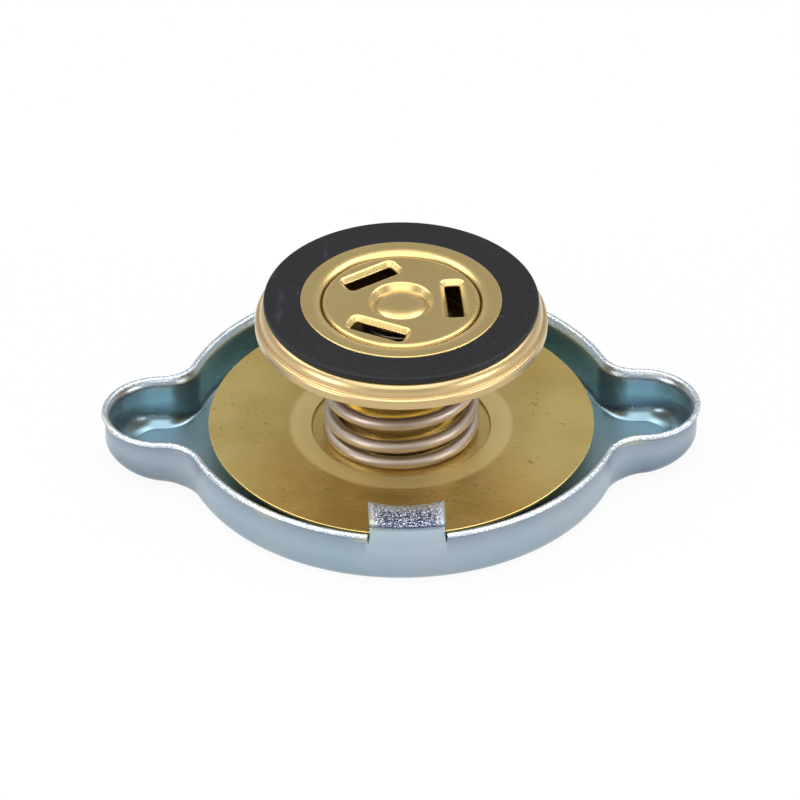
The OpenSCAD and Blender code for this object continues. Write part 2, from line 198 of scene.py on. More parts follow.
# Sizes of the slotted cover
COVER_T = 0.4
COVER_EDGE_R = 0.8
SLOT_COUNT = 3
SLOT_L = 8.4
SLOT_W = 2.2
SLOT_CORNER_R = 0.35
SLOT_MARGIN = 0.9
SLOT_SINK = 0.8
SLOT_AT = 8.1
SLOT_TURN = 3.0
SLOT_RINGS = (0, 0.2, 0.45, 0.62, 0.72, 0.82, 0.92, 1.02, 1.12)
SLOT_END_PARTS = 4
SLOT_SIDE_PARTS = 12
SLOPE_EASE = 0.25
DIMPLE_R = 4.95
DIMPLE_H = 0.95
DOME_R = 4.0
DOME_H = 0.8
DOME_POWER = 3.2
DIMPLE_RINGS = (
    *(5.35, 5.2, 5.1, 5.0, 4.9, 4.8, 4.7, 4.4, 4.1, 4.03),
    *(3.97, 3.8, 3.5, 3.2, 2.8, 2.4, 2.0, 1.4, 0.7),
)
DIMPLE_REACH = 0.4
COVER_FACE_INSET = 0.4 * COVER_EDGE_R
COVER_EDGE_RINGS = (0.0, 0.08, 0.25)
COVER_EDGE_GAP = 0.06
COVER_SEGMENTS = 240
DIMPLE_SEGMENTS = 84
MERGE_DISTANCE = 1e-5
SLOT_TOLERANCE = 1e-4

# Sizes of the vacuum spring
VACUUM_LOW, VACUUM_TOP, _ = levels("vacuum_spring")
VACUUM_WIRE = 0.5
VACUUM_R = 5.65
VACUUM_PITCH = 1.3

# Edges sharper than this stay sharp
SHELL_SHARP = math.radians(50)
PIECE_SHARP = math.radians(60)
CAD_SHARP = math.radians(30)


# Form helpers


def arc(x, y, r, start, end, steps=10):
    """Points of an arc about (x, y)."""
    points = []
    for i in range(steps + 1):
        t = math.radians(start + (end - start) * i / steps)
        points.append((x + r * math.cos(t), y + r * math.sin(t)))
    return points


def rounded(corners, steps=6):
    """Closed outline through corners (x, y, radius), each rounded by its radius."""
    points = []
    for i, (x, y, r) in enumerate(corners):
        here = Vector((x, y))
        if r == 0:
            points.append((x, y))
            continue
        before = (Vector(corners[i - 1][:2]) - here).normalized()
        after = (Vector(corners[(i + 1) % len(corners)][:2]) - here).normalized()
        half = before.angle(after) / 2
        centre = here + (before + after).normalized() * (r / math.sin(half))
        first = here + before * (r / math.tan(half)) - centre
        last = here + after * (r / math.tan(half)) - centre
        turn = math.atan2(first.x * last.y - first.y * last.x, first.dot(last))
        start = math.atan2(first.y, first.x)
        for k in range(steps + 1):
            t = start + turn * k / steps
            points.append((centre.x + r * math.cos(t), centre.y + r * math.sin(t)))
    return points


def lathe(profile, segments=256):
    """Ring whose section is a closed, counter-clockwise profile of (radius, level)."""
    count = len(profile)
    verts = []
    for i in range(segments):
        t = 2 * math.pi * i / segments
        verts += [(r * math.cos(t), r * math.sin(t), z) for r, z in profile]
    faces = []
    for i in range(segments):
        a, b = i * count, (i + 1) % segments * count
        for k in range(count):
            n = (k + 1) % count
            faces.append((a + k, b + k, b + n, a + n))
    return verts, faces


def helix(r, wire, low, high, pitch, start, sides=20, steps=72):
    """Coil spring with closed, ground ends, and each vertex's place along and round the wire."""
    closed = wire + COIL_GAP
    turns = 2 + (high - low - 2 * closed) / pitch
    rings = math.ceil(turns * steps)
    verts, places = [], []
    for i in range(rings + 1):
        u = turns * i / rings
        rise = closed * (min(u, 1) + max(u - turns + 1, 0))
        middle = low + rise + pitch * (min(max(u, 1), turns - 1) - 1)
        turn = math.radians(start + 360 * u)
        for k in range(sides):
            lean = 2 * math.pi * k / sides
            out = r + wire / 2 * math.cos(lean)
            level = min(max(middle + wire / 2 * math.sin(lean), low), high)
            verts.append((out * math.cos(turn), out * math.sin(turn), level))
            places.append((2 * math.pi * r * u, math.cos(lean), math.sin(lean)))
    faces = []
    for i in range(rings):
        for k in range(sides):
            a, b = i * sides + k, i * sides + (k + 1) % sides
            faces.append((a, a + sides, b + sides, b))
    faces.append(tuple(range(sides)))
    faces.append(tuple(rings * sides + k for k in reversed(range(sides))))
    return verts, faces, places


def piece(name, verts, faces, material, body, node, slot):
    """New visible piece that stands for a CAD node."""
    mesh = bpy.data.meshes.new(name)
    mesh.from_pydata([(x * MM, y * MM, z * MM) for x, y, z in verts], [], faces)
    mesh.shade_smooth()
    mesh.materials.append(material)
    obj = bpy.data.objects.new(name, mesh)
    bpy.context.scene.collection.objects.link(obj)
    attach(obj, body)
    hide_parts(node)
    return obj


def weighted_normals(obj):
    """Flat faces keep their own normals, so that only the small rounded edges bend the light."""
    modifier = obj.modifiers.new("normals", "WEIGHTED_NORMAL")
    modifier.keep_sharp = True


def point_values(mesh, name, values):
    """Stores three numbers for each vertex under a name that a material can read."""
    attribute = mesh.attributes.new(name, "FLOAT_VECTOR", "POINT")
    attribute.data.foreach_set("vector", [c for value in values for c in value])


# Material helpers


def linear(code):
    """Linear colour of a code such as #8090A0."""
    channels = [int(code[i : i + 2], 16) / 255 for i in (1, 3, 5)]
    return [c / 12.92 if c <= 0.04045 else ((c + 0.055) / 1.055) ** 2.4 for c in channels] + [1.0]


class Shader:
    """A principled material and short ways to add nodes to it."""

    def __init__(self, name):
        self.material = bpy.data.materials.new(name)
        self.material.use_nodes = True
        self.tree = self.material.node_tree
        self.surface = self.tree.nodes["Principled BSDF"]

    def add(self, kind, **inputs):
        node = self.tree.nodes.new(kind)
        for key, value in inputs.items():
            self.feed(node.inputs[key.replace("_", " ")], value)
        return node

    def feed(self, socket, value):
        if isinstance(value, bpy.types.NodeSocket):
            self.tree.links.new(value, socket)
        else:
            socket.default_value = value

    def set(self, **inputs):
        for key, value in inputs.items():
            self.feed(self.surface.inputs[key.replace("_", " ")], value)

    def place(self):
        return self.add("ShaderNodeTexCoord").outputs["Object"]

    def stored(self, name):
        node = self.add("ShaderNodeAttribute")
        node.attribute_name = name
        return node

    def stretched(self, vector, scale):
        return self.add("ShaderNodeMapping", Vector=vector, Scale=scale).outputs["Vector"]

    def noise(self, vector, scale, detail=3.0, roughness=0.5):
        node = self.add(
            "ShaderNodeTexNoise",
            Vector=vector,
            Scale=scale,
            Detail=detail,
            Roughness=roughness,
        )
        return node.outputs["Fac"]

    def span(self, value, low, high, to_low, to_high):
        """Maps low to high onto to_low to to_high, and holds the ends beyond them."""
        node = self.add(
            "ShaderNodeMapRange",
            Value=value,
            From_Min=low,
            From_Max=high,
            To_Min=to_low,
            To_Max=to_high,
        )
        return node.outputs["Result"]

    def ramp(self, value, stops):
        node = self.add("ShaderNodeValToRGB", Fac=value)
        elements = node.color_ramp.elements
        while len(elements) < len(stops):
            elements.new(1.0)
        for element, (position, colour) in zip(elements, stops):
            element.position = position
            element.color = colour
        return node.outputs["Color"]

    def mix(self, factor, a, b):
        node = self.tree.nodes.new("ShaderNodeMix")
        node.data_type = "RGBA"
        self.feed(node.inputs["Factor"], factor)
        self.feed(node.inputs[6], a)
        self.feed(node.inputs[7], b)
        return node.outputs[2]

    def math(self, a, b, operation="ADD"):
        node = self.tree.nodes.new("ShaderNodeMath")
        node.operation = operation
        self.feed(node.inputs[0], a)
        self.feed(node.inputs[1], b)
        return node.outputs[0]

    def product(self, a, b):
        return self.math(a, b, "MULTIPLY")

    def bump(self, height, strength, distance, normal=None):
        node = self.add("ShaderNodeBump", Height=height, Strength=strength, Distance=distance)
        if normal is not None:
            self.feed(node.inputs["Normal"], normal)
        return node.outputs["Normal"]


def zinc_material():
    """Bright zinc plate with a thin blue passivation, coarse grained where the sheet was bent, with
    painted reflection, shade and highlights in places.

    The stored finish holds the strain (0 on flat sheet, 1 on the flared rim, 2 on the lugs), the
    share of the film inside the cap, which below 0 paints shade along a lug's fold, and the
    dullness.
    """
    s = Shader("zinc_plate")
    place = s.place()
    finish = s.add("ShaderNodeSeparateXYZ", Vector=s.stored("finish").outputs["Vector"]).outputs
    strain, inside, dull = finish["X"], finish["Y"], finish["Z"]
    where = s.add("ShaderNodeSeparateXYZ", Vector=place).outputs
    across = s.product(where["X"], where["X"])

    def beside(near, far, to_near, to_far):
        """Span over the distance from the middle plane, in millimetres."""
        return s.span(across, (near * MM) ** 2, (far * MM) ** 2, to_near, to_far)

    # Clouded plate, greyer on the ears, and darker towards the crown: painted shade at the walls'
    # foot, stronger on the ears
    ear = beside(29, 41, 0, 0.8)
    cloud = s.noise(place, 60, detail=2)
    tint = s.ramp(
        cloud,
        [(0.3, linear("#A5BBC6")), (0.5, linear("#ADBECA")), (0.72, linear("#B3BDC9"))],
    )
    tint = s.mix(ear, tint, linear("#AAB7C5"))
    # Painted shade: the walls darken towards their foot on the floor, most on the ears
    foot = s.product(s.span(where["Z"], 0.0, 6.8 * MM, 0.7, 0), s.span(ear, 0, 0.5, 0.7, 1.8))
    tint = s.mix(foot, tint, linear("#5A6E80"))

    # Film inside, teal near the disc and sky blue in the ears, its teal a painted reflection of the
    # brass; dull floor, straw stains on bends
    film_and_reflection = s.mix(beside(27, 34, 0, 1), linear("#A6D6C6"), linear("#BDEBF4"))
    tint = s.mix(s.span(inside, 0, 1, 0, 0.9), tint, film_and_reflection)
    tint = s.mix(s.span(dull, 0, 0.6, 0, 0.6), tint, linear("#7C8898"))
    stain = s.span(s.noise(place, 130, detail=1), 0.5, 0.66, 0, 0.6)
    stain = s.product(stain, s.span(strain, 0.2, 0.5, 0.05, 1))
    tint = s.mix(stain, tint, linear("#C6C9A4"))

    # Bright grain on rim and lugs, navy between the grains of the lugs, thinning to a painted
    # highlight at their ends, and painted shade along their folds
    grain = s.noise(place, 4200, detail=2, roughness=0.6)
    spots = s.product(s.span(strain, 0.5, 1, 0, 0.9), s.span(grain, 0.45, 0.6, 0, 1))
    tint = s.mix(spots, tint, linear("#F6F8FB"))
    # The navy fades towards a lug's two ends, so they show white grain: a painted highlight
    navy = s.product(s.span(strain, 1, 2, 0, 1), beside(4, 5.4, 1, 0.1))
    tint = s.mix(s.product(navy, s.span(grain, 0.5, 0.64, 1, 0)), tint, linear("#333F62"))
    # Painted shade: a dark line along each lug's fold
    tint = s.mix(s.span(inside, -1, 0, 1, 0), tint, linear("#2E3A55"))

    s.set(Base_Color=tint, Metallic=s.span(strain, 1, 2, 0.9, 0.75), Specular_IOR_Level=0.3)
    gloss = s.span(s.noise(place, 300, detail=3), 0.3, 0.7, 0.2, 0.28)
    s.set(Roughness=s.math(gloss, s.span(dull, 0, 0.6, 0, 0.2)))
    fine = s.bump(s.noise(place, 220, detail=1), 0.05, 0.4 * MM)
    height = s.product(grain, s.span(strain, 0.4, 2, 0, 1))
    s.set(Normal=s.bump(height, 0.9, 0.3 * MM, fine))
    return s.material


def brass_material(name, dark, light, rough, streak, specks, ring=0.0, coat=0.0):
    """Rolled brass sheet: clouds from dark to light, fine streaks and small dark pits.

    ring is the extra roughness of the disc's coined ring, which also gets a painted sheen, and coat
    the weight of a clear film.
    """
    s = Shader(name)
    place = s.place()
    cloud = s.noise(place, 70, detail=3)
    tint = s.ramp(cloud, [(0.3, linear(dark)), (0.7, linear(light))])
    lines = s.noise(s.stretched(place, (0.05, 1.0, 1.0)), 3600, detail=3, roughness=0.65)
    tint = s.mix(s.span(lines, 0.4, 0.7, 0, streak), tint, linear("#8D7534"))
    pits = s.noise(place, 1100, detail=2, roughness=0.4)
    field = s.noise(place, 95, detail=1)
    marks = s.product(s.span(pits, 0.66, 0.74, 0, 1), s.span(field, 0.45, 0.6, 0, specks))
    tint = s.mix(marks, tint, linear("#7A6430"))
    gloss = s.span(lines, 0.3, 0.7, rough - 0.3 * streak, rough + 0.3 * streak)
    metal = 0.92
    if ring:
        flat = s.add("ShaderNodeVectorMath", Vector=s.stretched(place, (1.0, 1.0, 0.0)))
        flat.operation = "LENGTH"
        r = flat.outputs["Value"]
        coined = s.product(
            s.span(r, DISC_SEAT_R * MM, (DISC_SEAT_R + 0.3) * MM, 0, 1),
            s.span(r, (DISC_STEP_R - 0.2) * MM, (DISC_STEP_R + 0.5) * MM, 1, 0),
        )
        gloss = s.math(gloss, s.product(coined, ring))
        # Painted sheen: the coined ring, in the valve's shade, is lightened
        tint = s.mix(s.product(coined, 0.6), tint, linear("#F8E6A6"))
        metal = s.span(coined, 0, 1, metal, 0.75)
    s.set(Base_Color=tint, Metallic=metal, Specular_IOR_Level=0.3)
    s.set(Roughness=gloss)
    s.set(Coat_Weight=coat, Coat_IOR=1.9, Coat_Roughness=rough)
    wave = s.bump(s.noise(place, 130, detail=1), 0.05, 0.6 * MM)
    s.set(Normal=s.bump(marks, 0.2, 0.1 * MM, wave))
    return s.material


def wire_material():
    """Drawn spring wire, grey with a warm tint and faint lines along the wire."""
    s = Shader("spring_wire")
    wire = s.stored("wire").outputs["Vector"]
    lines = s.noise(s.stretched(wire, (0.035, 6.0, 6.0)), 1.6, detail=3, roughness=0.6)
    cloud = s.noise(s.stretched(wire, (0.3, 1.0, 1.0)), 0.6, detail=2)
    tint = s.ramp(
        cloud,
        [(0.3, linear("#B4A79C")), (0.6, linear("#BFB2A8")), (0.8, linear("#BBAC98"))],
    )
    tint = s.mix(s.span(lines, 0.5, 0.75, 0, 0.4), tint, linear("#786B62"))
    s.set(Base_Color=tint, Metallic=1.0)
    s.set(Roughness=s.span(lines, 0.3, 0.7, 0.42, 0.54))
    s.set(Normal=s.bump(lines, 0.06, 0.05 * MM))
    return s.material


def rubber_material():
    """Moulded rubber, matte, with faint pale scuffs and moulding dust."""
    s = Shader("seal_rubber")
    place = s.place()
    cloud = s.noise(place, 60, detail=3)
    tint = s.ramp(cloud, [(0.3, linear("#101013")), (0.7, linear("#15151A"))])
    dust = s.noise(place, 1500, detail=2)
    scuffs = s.noise(s.stretched(place, (1.0, 0.22, 1.0)), 260, detail=4, roughness=0.7)
    specks = s.span(dust, 0.66, 0.74, 0, 0.45)
    marks = s.math(specks, s.span(scuffs, 0.62, 0.74, 0, 0.35), "MAXIMUM")
    tint = s.mix(marks, tint, linear("#43464E"))
    s.set(Base_Color=tint, Specular_IOR_Level=0.3)
    s.set(Roughness=s.span(cloud, 0.3, 0.7, 0.42, 0.52))
    s.set(Normal=s.bump(s.noise(place, 1800, detail=4), 0.12, 0.1 * MM))
    return s.material


zinc = zinc_material()
disc_brass = brass_material(
    "disc_brass", "#D0B264", "#EAD288", rough=0.28, streak=0.04, specks=0.5, ring=0.1
)
valve_brass = brass_material(
    "valve_brass", "#C8AB62", "#D2B76E", rough=0.29, streak=0.14, specks=0.2, coat=0.7
)
plate_brass = brass_material(
    "plate_brass", "#BE9F5E", "#C8AA6C", rough=0.34, streak=0.08, specks=0.1, coat=1.0
)
# Darker brass for faces inside the valve: tarnish, and painted shade where the closed valve gets
# little light
tarnish_and_shade_brass = brass_material(
    "tarnish_and_shade_brass", "#7D6430", "#8F7640", rough=0.42, streak=0.3, specks=0.8
)
wire_steel = wire_material()
rubber = rubber_material()


# Shell


def body_arc(middle):
    """Stretches of the body's wall on one side, each with what stands on it."""
    lug = math.degrees(math.asin(LUG_W / 2 / BODY_R))
    gap = math.degrees(math.asin((LUG_W / 2 + RELIEF_W) / BODY_R))
    half = 90 - JUNCTION
    rim = math.degrees(math.asin((LUG_W / 2 - LUG_PINCH) / BODY_R))
    marks = [-half, -gap, -lug, -rim, rim, lug, gap, half]
    kinds = ["rim", "gap", "lug", "lug", "lug", "gap", "rim"]
    counts = [72, 2, 4, 26, 4, 2, 72]
    return [
        (middle + a, middle + b, count, kind)
        for a, b, count, kind in zip(marks, marks[1:], counts, kinds)
    ]


def smooth(t):
    """Soft step from 0 to 1."""
    return t * t * (3 - 2 * t)


def wall_samples():
    """Samples along the wall's outer face, counter-clockwise from the right ear's back fillet."""
    samples = []

    def sweep(x, y, r, start, end, count, kind, outward, bend):
        for i in range(count):
            share = i / count
            t = math.radians(start + (end - start) * share)
            normal = Vector((math.cos(t), math.sin(t)))
            samples.append(
                {
                    "at": Vector((x, y)) + r * normal,
                    "out": normal * outward,
                    "bend": bend(share, t),
                    "kind": kind,
                }
            )

    def ear_bend(share, t):
        return EAR_BEND_R + (EAR_TIP_BEND_R - EAR_BEND_R) * math.cos(t) ** 2

    def to_ear(share, t):
        return BODY_BEND_R + (EAR_BEND_R - BODY_BEND_R) * smooth(share)

    def to_body(share, t):
        return to_ear(1 - share, t)

    def level_bend(share, t):
        return BODY_BEND_R

    for side in (1, -1):
        turn = 0 if side == 1 else 180
        x, y = EAR_X * side, FILLET_Y * side
        sweep(x, y, FILLET_R, turn - 90, turn - 180 + JUNCTION, FILLET_STEPS, "rim", -1, to_body)
        for start, end, count, kind in body_arc(turn + 90):
            sweep(0, 0, BODY_R, start, end, count, kind, 1, level_bend)
        sweep(-x, y, FILLET_R, turn - JUNCTION, turn - 90, FILLET_STEPS, "rim", -1, to_ear)
        sweep(-x, 0, EAR_R, turn + 90, turn + 270, EAR_STEPS, "rim", 1, ear_bend)
    return samples


def boss_profile():
    """Upper face of the crown's boss, from foot to rivet hole, and its lower face back out."""
    angle = math.radians(BOSS_ANGLE)
    middle = BOSS_BEND_R + SHEET_T / 2
    side_h = BOSS_H - SHEET_T - 2 * middle * (1 - math.cos(angle))
    foot_r = BOSS_R + 2 * middle * math.sin(angle) + side_h / math.tan(angle)
    foot_z = SHEET_T + BOSS_BEND_R
    top_z = BOSS_H - SHEET_T - BOSS_BEND_R
    upper = (
        arc(foot_r, foot_z, BOSS_BEND_R, -90, -90 - BOSS_ANGLE, 5)
        + arc(BOSS_R, top_z, BOSS_BEND_R + SHEET_T, 90 - BOSS_ANGLE, 90, 5)
        + [(RIVET_HOLE_R, BOSS_H)]
    )
    lower = (
        [(RIVET_HOLE_R, BOSS_H - SHEET_T)]
        + arc(BOSS_R, top_z, BOSS_BEND_R, 90, 90 - BOSS_ANGLE, 5)
        + arc(foot_r, foot_z, BOSS_BEND_R + SHEET_T, -90 - BOSS_ANGLE, -90, 5)
    )
    return upper, lower


def rim_path():
    """Flared rim over the wall, from its outer to its inner face: offset, level, finish."""
    angle = math.radians(RIM_ANGLE)
    outer = arc(RIM_BEND_R, RIM_Z, RIM_BEND_R, 180, 180 - RIM_ANGLE, 8)
    inner = arc(RIM_BEND_R, RIM_Z, RIM_BEND_R + SHEET_T, 180 - RIM_ANGLE, 180, 10)
    along = Vector((math.sin(angle), math.cos(angle))) * RIM_LIP
    low, high = Vector(outer[-1]) + along, Vector(inner[0]) + along
    corners = [
        (*outer[-1], 0),
        (low.x, low.y, RIM_EDGE_R),
        (high.x, high.y, RIM_INNER_EDGE_R),
        (*inner[0], 0),
    ]
    edge = rounded(corners, 6)
    path = [(n, z, RIM_OUTER_FINISH) for n, z in outer]
    path += [(n, z, RIM_EDGE_FINISH) for n, z in edge[1:-1]]
    path += [(n, z, RIM_INNER_FINISH) for n, z in inner]
    return path


def lug_path(reach, pinch):
    """Bent lug over the wall, from its outer to its inner face: way in, level, finish."""
    low = LUG_TOP - LUG_BEND_R
    top, heel_z = LUG_TOP - pinch, LUG_TOP - SHEET_T + pinch / 2
    over = arc(LUG_BEND_R, low, LUG_BEND_R - pinch, 180, 90, 10)
    under = arc(LUG_BEND_R, low, LUG_BEND_R - SHEET_T + pinch / 2, 90, 180, 6)
    flat = (LUG_BEND_R + reach) / 2
    edge = arc(reach - LUG_EDGE_R, top - LUG_EDGE_R, LUG_EDGE_R, 90, 0, 3)
    heel = arc(reach - LUG_EDGE_R, heel_z + LUG_EDGE_R, LUG_EDGE_R, 0, -90, 3)
    # Less strain on the pinched sides and the edge whitens their grain, a painted highlight
    grain = LUG_SIDE_HIGHLIGHT_STRAIN if pinch > 0 else LUG_STRAIN
    path = []
    for i, (n, z) in enumerate(over):
        strain = grain if i > LUG_FOOT_STEPS else LUG_FOOT_STRAIN
        path.append((n, z, (strain, LUG_FOLD_SHADE.get(i, 0.0), 0.0)))
    path.append((flat, top, (grain, 0.0, 0.0)))
    path += [(n, z, (min(LUG_EDGE_HIGHLIGHT_STRAIN, grain), 0.0, 0.0)) for n, z in edge + heel]
    path += [(n, z, LUG_UNDER_FINISH) for n, z in under]
    return path


def shell_mesh():
    """The whole pressing, with each vertex's finish and the vertices along the floor's crease."""
    samples = wall_samples()
    boss_upper, boss_lower = boss_profile()
    flare = rim_path()
    hollow_y = BODY_R - SHEET_T - LUG_REACH - LUG_HOLLOW_R
    verts, finish, faces, creases = [], [], [], []

    def vertex(x, y, z, surface):
        slope = EAR_FLOOR_SLOPE if surface[1] > 0 else EAR_SLOPE
        rise = slope * max(abs(x) - EAR_SLOPE_FROM, 0)
        verts.append((x, y, z + rise * max(1 - z / RELIEF_Z, 0)))
        finish.append(surface)
        return len(verts) - 1

    def wall_loop(sample):
        """Section of the sheet, from the inner lip over floor, boss and crown to the outer lip."""
        at, out, bend = sample["at"], sample["out"], sample["bend"]
        direction = at.normalized()

        def wall(points, surface):
            return [vertex(*(at + out * n), z, surface) for n, z in points]

        def spread(start, ring, z, shares, surface):
            floor = at - out * start
            foot = direction * ring
            return [vertex(*(floor.lerp(foot, share)), z, surface) for share in shares]

        middle = (RELIEF_Z + bend) / 2
        outer_lip = OUTER_LIP_FINISH if sample["kind"] == "rim" else LUG_LIP_FINISH
        tip = (bend - BODY_BEND_R) / (EAR_TIP_BEND_R - BODY_BEND_R)
        inner_r = INNER_BEND_R + (INNER_TIP_BEND_R - INNER_BEND_R) * tip**INNER_BEND_GROWTH
        crease = INNER_CREASE * smooth(min(2 * tip, 1))
        lift = inner_r * math.cos(math.radians(crease))
        inner_bend = arc(-SHEET_T - inner_r, SHEET_T + lift, inner_r, 0, crease - 90, 8)
        outer_bend = arc(-bend, bend, bend, -90, 0, 12)
        loop = wall([(-SHEET_T, RELIEF_Z)], INNER_LIP_FINISH)
        loop += wall([(-SHEET_T, middle)], INNER_WALL_FINISH)
        loop += wall(inner_bend, INNER_BEND_FINISH)
        creases.append(loop[-1])
        inner_start = max(bend, -inner_bend[-1][0])
        loop += spread(inner_start, boss_upper[0][0], SHEET_T, FLOOR_SHARES, FLOOR_FINISH)
        loop += [vertex(*(direction * r), z, BOSS_FINISH) for r, z in boss_upper + boss_lower]
        loop += spread(bend, boss_lower[-1][0], 0.0, FLOOR_SHARES[::-1], CROWN_FINISH)
        loop += wall(outer_bend, OUTER_BEND_FINISH)
        loop += wall([(0, middle)], OUTER_WALL_FINISH)
        loop += wall([(0, RELIEF_Z)], outer_lip)
        return loop

    def top_loop(sample, kind, loop):
        """What stands on the section: the flared rim, a lug, or the bare edge in a slit."""
        at, out = sample["at"], sample["out"]
        if kind == "gap":
            return [loop[-1], loop[0]]
        if kind == "rim":
            more = EAR_GRAIN * smooth(max(1 - abs(abs(at.x) - EAR_X) / EAR_GRAIN_REACH, 0))
            path = [
                vertex(*(at + out * n), z, (strain * (1 + more), inside, dull))
                for n, z, (strain, inside, dull) in flare
            ]
        else:
            side = math.copysign(1, at.y)
            reach = abs(at.y) - hollow_y - math.sqrt(LUG_HOLLOW_R**2 - at.x**2)
            inset = LUG_W / 2 - abs(at.x)
            pinch = LUG_PINCH * max(1 - inset / LUG_PINCH, 0) ** 2
            path = [
                vertex(at.x, at.y - side * n, z, surface)
                for n, z, surface in lug_path(reach, pinch)
            ]
        return [loop[-1]] + path + [loop[0]]

    loops = [wall_loop(sample) for sample in samples]
    tops = {}

    def top(i, kind):
        if (i, kind) not in tops:
            tops[i, kind] = top_loop(samples[i], kind, loops[i])
        return tops[i, kind]

    for i, sample in enumerate(samples):
        n = (i + 1) % len(samples)
        kind = sample["kind"]
        for a, b in ((loops[i], loops[n]), (top(i, kind), top(n, kind))):
            faces += [(a[k], b[k], b[k + 1], a[k + 1]) for k in range(len(a) - 1)]
        if kind != "gap" and samples[i - 1]["kind"] == "gap":
            faces.append(tuple(top(i, kind)))
        if kind != "gap" and samples[n]["kind"] == "gap":
            faces.append(tuple(reversed(top(n, kind))))
    return verts, faces, finish, creases


verts, faces, finish, creases = shell_mesh()
shell = piece("shell_pressing", verts, faces, zinc, "shell", "cap_shell", "plated_steel")
point_values(shell.data, "finish", finish)
shell.data.set_sharp_from_angle(angle=SHELL_SHARP)
creased = set(creases)
for edge in shell.data.edges:
    if creased.issuperset(edge.vertices):
        edge.use_edge_sharp = True


# Spring disc and pressure spring

disc_corners = [
    (RIVET_HOLE_R, DISC_LOW, 0),
    (DISC_SEAT_R, DISC_LOW, DISC_SEAT_BEND_R),
    (DISC_STEP_R, DISC_LOW + DISC_STEP_H, DISC_STEP_BEND_R),
    (DISC_R, DISC_TOP - DISC_T, DISC_EDGE_R),
    (DISC_R, DISC_TOP, DISC_EDGE_R),
    (DISC_STEP_R, SEAT_Z + DISC_STEP_H, DISC_STEP_EDGE_R),
    (DISC_SEAT_R + DISC_KERB_W, SEAT_Z + DISC_KERB_H, DISC_KERB_EDGE_R),
    (DISC_SEAT_R, SEAT_Z, DISC_KERB_FOOT_R),
    (RIVET_HOLE_R, SEAT_Z, 0),
]
disc_form = lathe(rounded(disc_corners))
disc = piece("disc_sheet", *disc_form, disc_brass, "carrier", "spring_disc", "disc_brass")
weighted_normals(disc)

verts, faces, places = helix(
    SPRING_R, SPRING_WIRE, SPRING_LOW, SPRING_TOP, SPRING_PITCH, SPRING_START
)
coil = piece("spring_coil", verts, faces, wire_steel, "carrier", "pressure_spring", "spring_wire")
point_values(coil.data, "wire", places)
coil.data.set_sharp_from_angle(angle=PIECE_SHARP)
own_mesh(coil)


# Valve

cup_outer = CUP_R + VALVE_T
bead_z = PLATE_TOP - VALVE_T - PRESS_GAP - BEAD_R
roll_z = FLANGE_Z - FLANGE_BEND_R
bend_x = cup_outer - CUP_BEND_R
bend_z = CUP_LOW + CUP_BEND_R
flange_edge = rounded(
    [
        (FLANGE_BEND_X, FLANGE_Z, 0),
        (FLANGE_R, FLANGE_Z, FLANGE_EDGE_R),
        (FLANGE_R, FLANGE_TOP, 2 * FLANGE_EDGE_R),
        (ROLL_X, FLANGE_TOP, 0),
    ]
)
roll = []
for i in range(ROLL_STEPS + 1):
    t = i * math.pi / (2 * ROLL_STEPS)
    roll.append(
        (
            ROLL_X - (ROLL_X - CUP_R) * math.sin(t),
            FLANGE_TOP - ROLL_H * (1 - math.cos(t)),
        )
    )
cup_profile = (
    [(CUP_HOLE_R, CUP_LOW)]
    + arc(bend_x, bend_z, CUP_BEND_R, -90, 0)
    + arc(cup_outer, bead_z, BEAD_R, -90, 90)
    + arc(FLANGE_BEND_X, roll_z, FLANGE_BEND_R, 180, 90)
    + flange_edge[1:-1]
    + roll
    + arc(CUP_R, bead_z, BEAD_R, 90, -90)
    + arc(bend_x, bend_z, CUP_BEND_R - VALVE_T, 0, -90)
    + [(CUP_HOLE_R, CUP_LOW + VALVE_T)]
)
cup = piece("cup_sheet", *lathe(cup_profile), valve_brass, "valve", "valve_cup", "valve_brass")
weighted_normals(cup)
# Inner faces of the cup below the cover's edge take the darker brass: painted shade inside the
# valve and in the gap round the cover
cup.data.materials.append(tarnish_and_shade_brass)
for face in cup.data.polygons:
    inner = math.hypot(face.center.x, face.center.y) < (CUP_R + CUP_SHADE_REACH) * MM
    face.material_index = int(inner and face.center.z < (COVER_TOP - COVER_EDGE_R / 2) * MM)

plate_hole_r = cup_outer + PRESS_GAP
step_z = PLATE_TOP - PLATE_STEP_H
plate_corners = [
    (plate_hole_r, PLATE_TOP - VALVE_T, 0),
    (PLATE_R - VALVE_T, PLATE_TOP - VALVE_T, PLATE_SHOULDER_R - VALVE_T),
    (PLATE_R - VALVE_T, step_z - VALVE_T, PLATE_INNER_CORNER_R),
    (PLATE_LIP_R - VALVE_T, step_z - VALVE_T, PLATE_INNER_CORNER_R),
    (PLATE_LIP_R - VALVE_T, PLATE_LOW, PLATE_EDGE_R),
    (PLATE_LIP_R, PLATE_LOW, PLATE_EDGE_R),
    (PLATE_LIP_R, step_z, PLATE_LIP_EDGE_R),
    (PLATE_R, step_z, PLATE_CORNER_R),
    (PLATE_R, PLATE_TOP, PLATE_SHOULDER_R),
    (plate_hole_r, PLATE_TOP, 0),
]
plate_form = lathe(rounded(plate_corners, 8))
plate = piece("plate_sheet", *plate_form, plate_brass, "valve", "valve_plate", "valve_brass")
weighted_normals(plate)

seal_corners = [
    (FLANGE_BEND_X, SEAL_LOW, 0),
    (SEAL_R, SEAL_LOW, SEAL_EDGE_R),
    (SEAL_R, SEAL_TOP, SEAL_EDGE_R),
    (FLANGE_R + PRESS_GAP, SEAL_TOP, SEAL_INNER_EDGE_R),
    (FLANGE_R + PRESS_GAP, FLANGE_Z, 0),
    (FLANGE_BEND_X, FLANGE_Z, 0),
]
seal_form = lathe(rounded(seal_corners))
seal = piece("seal_body", *seal_form, rubber, "valve", "seal_ring", "seal_rubber")
weighted_normals(seal)


# Slotted cover

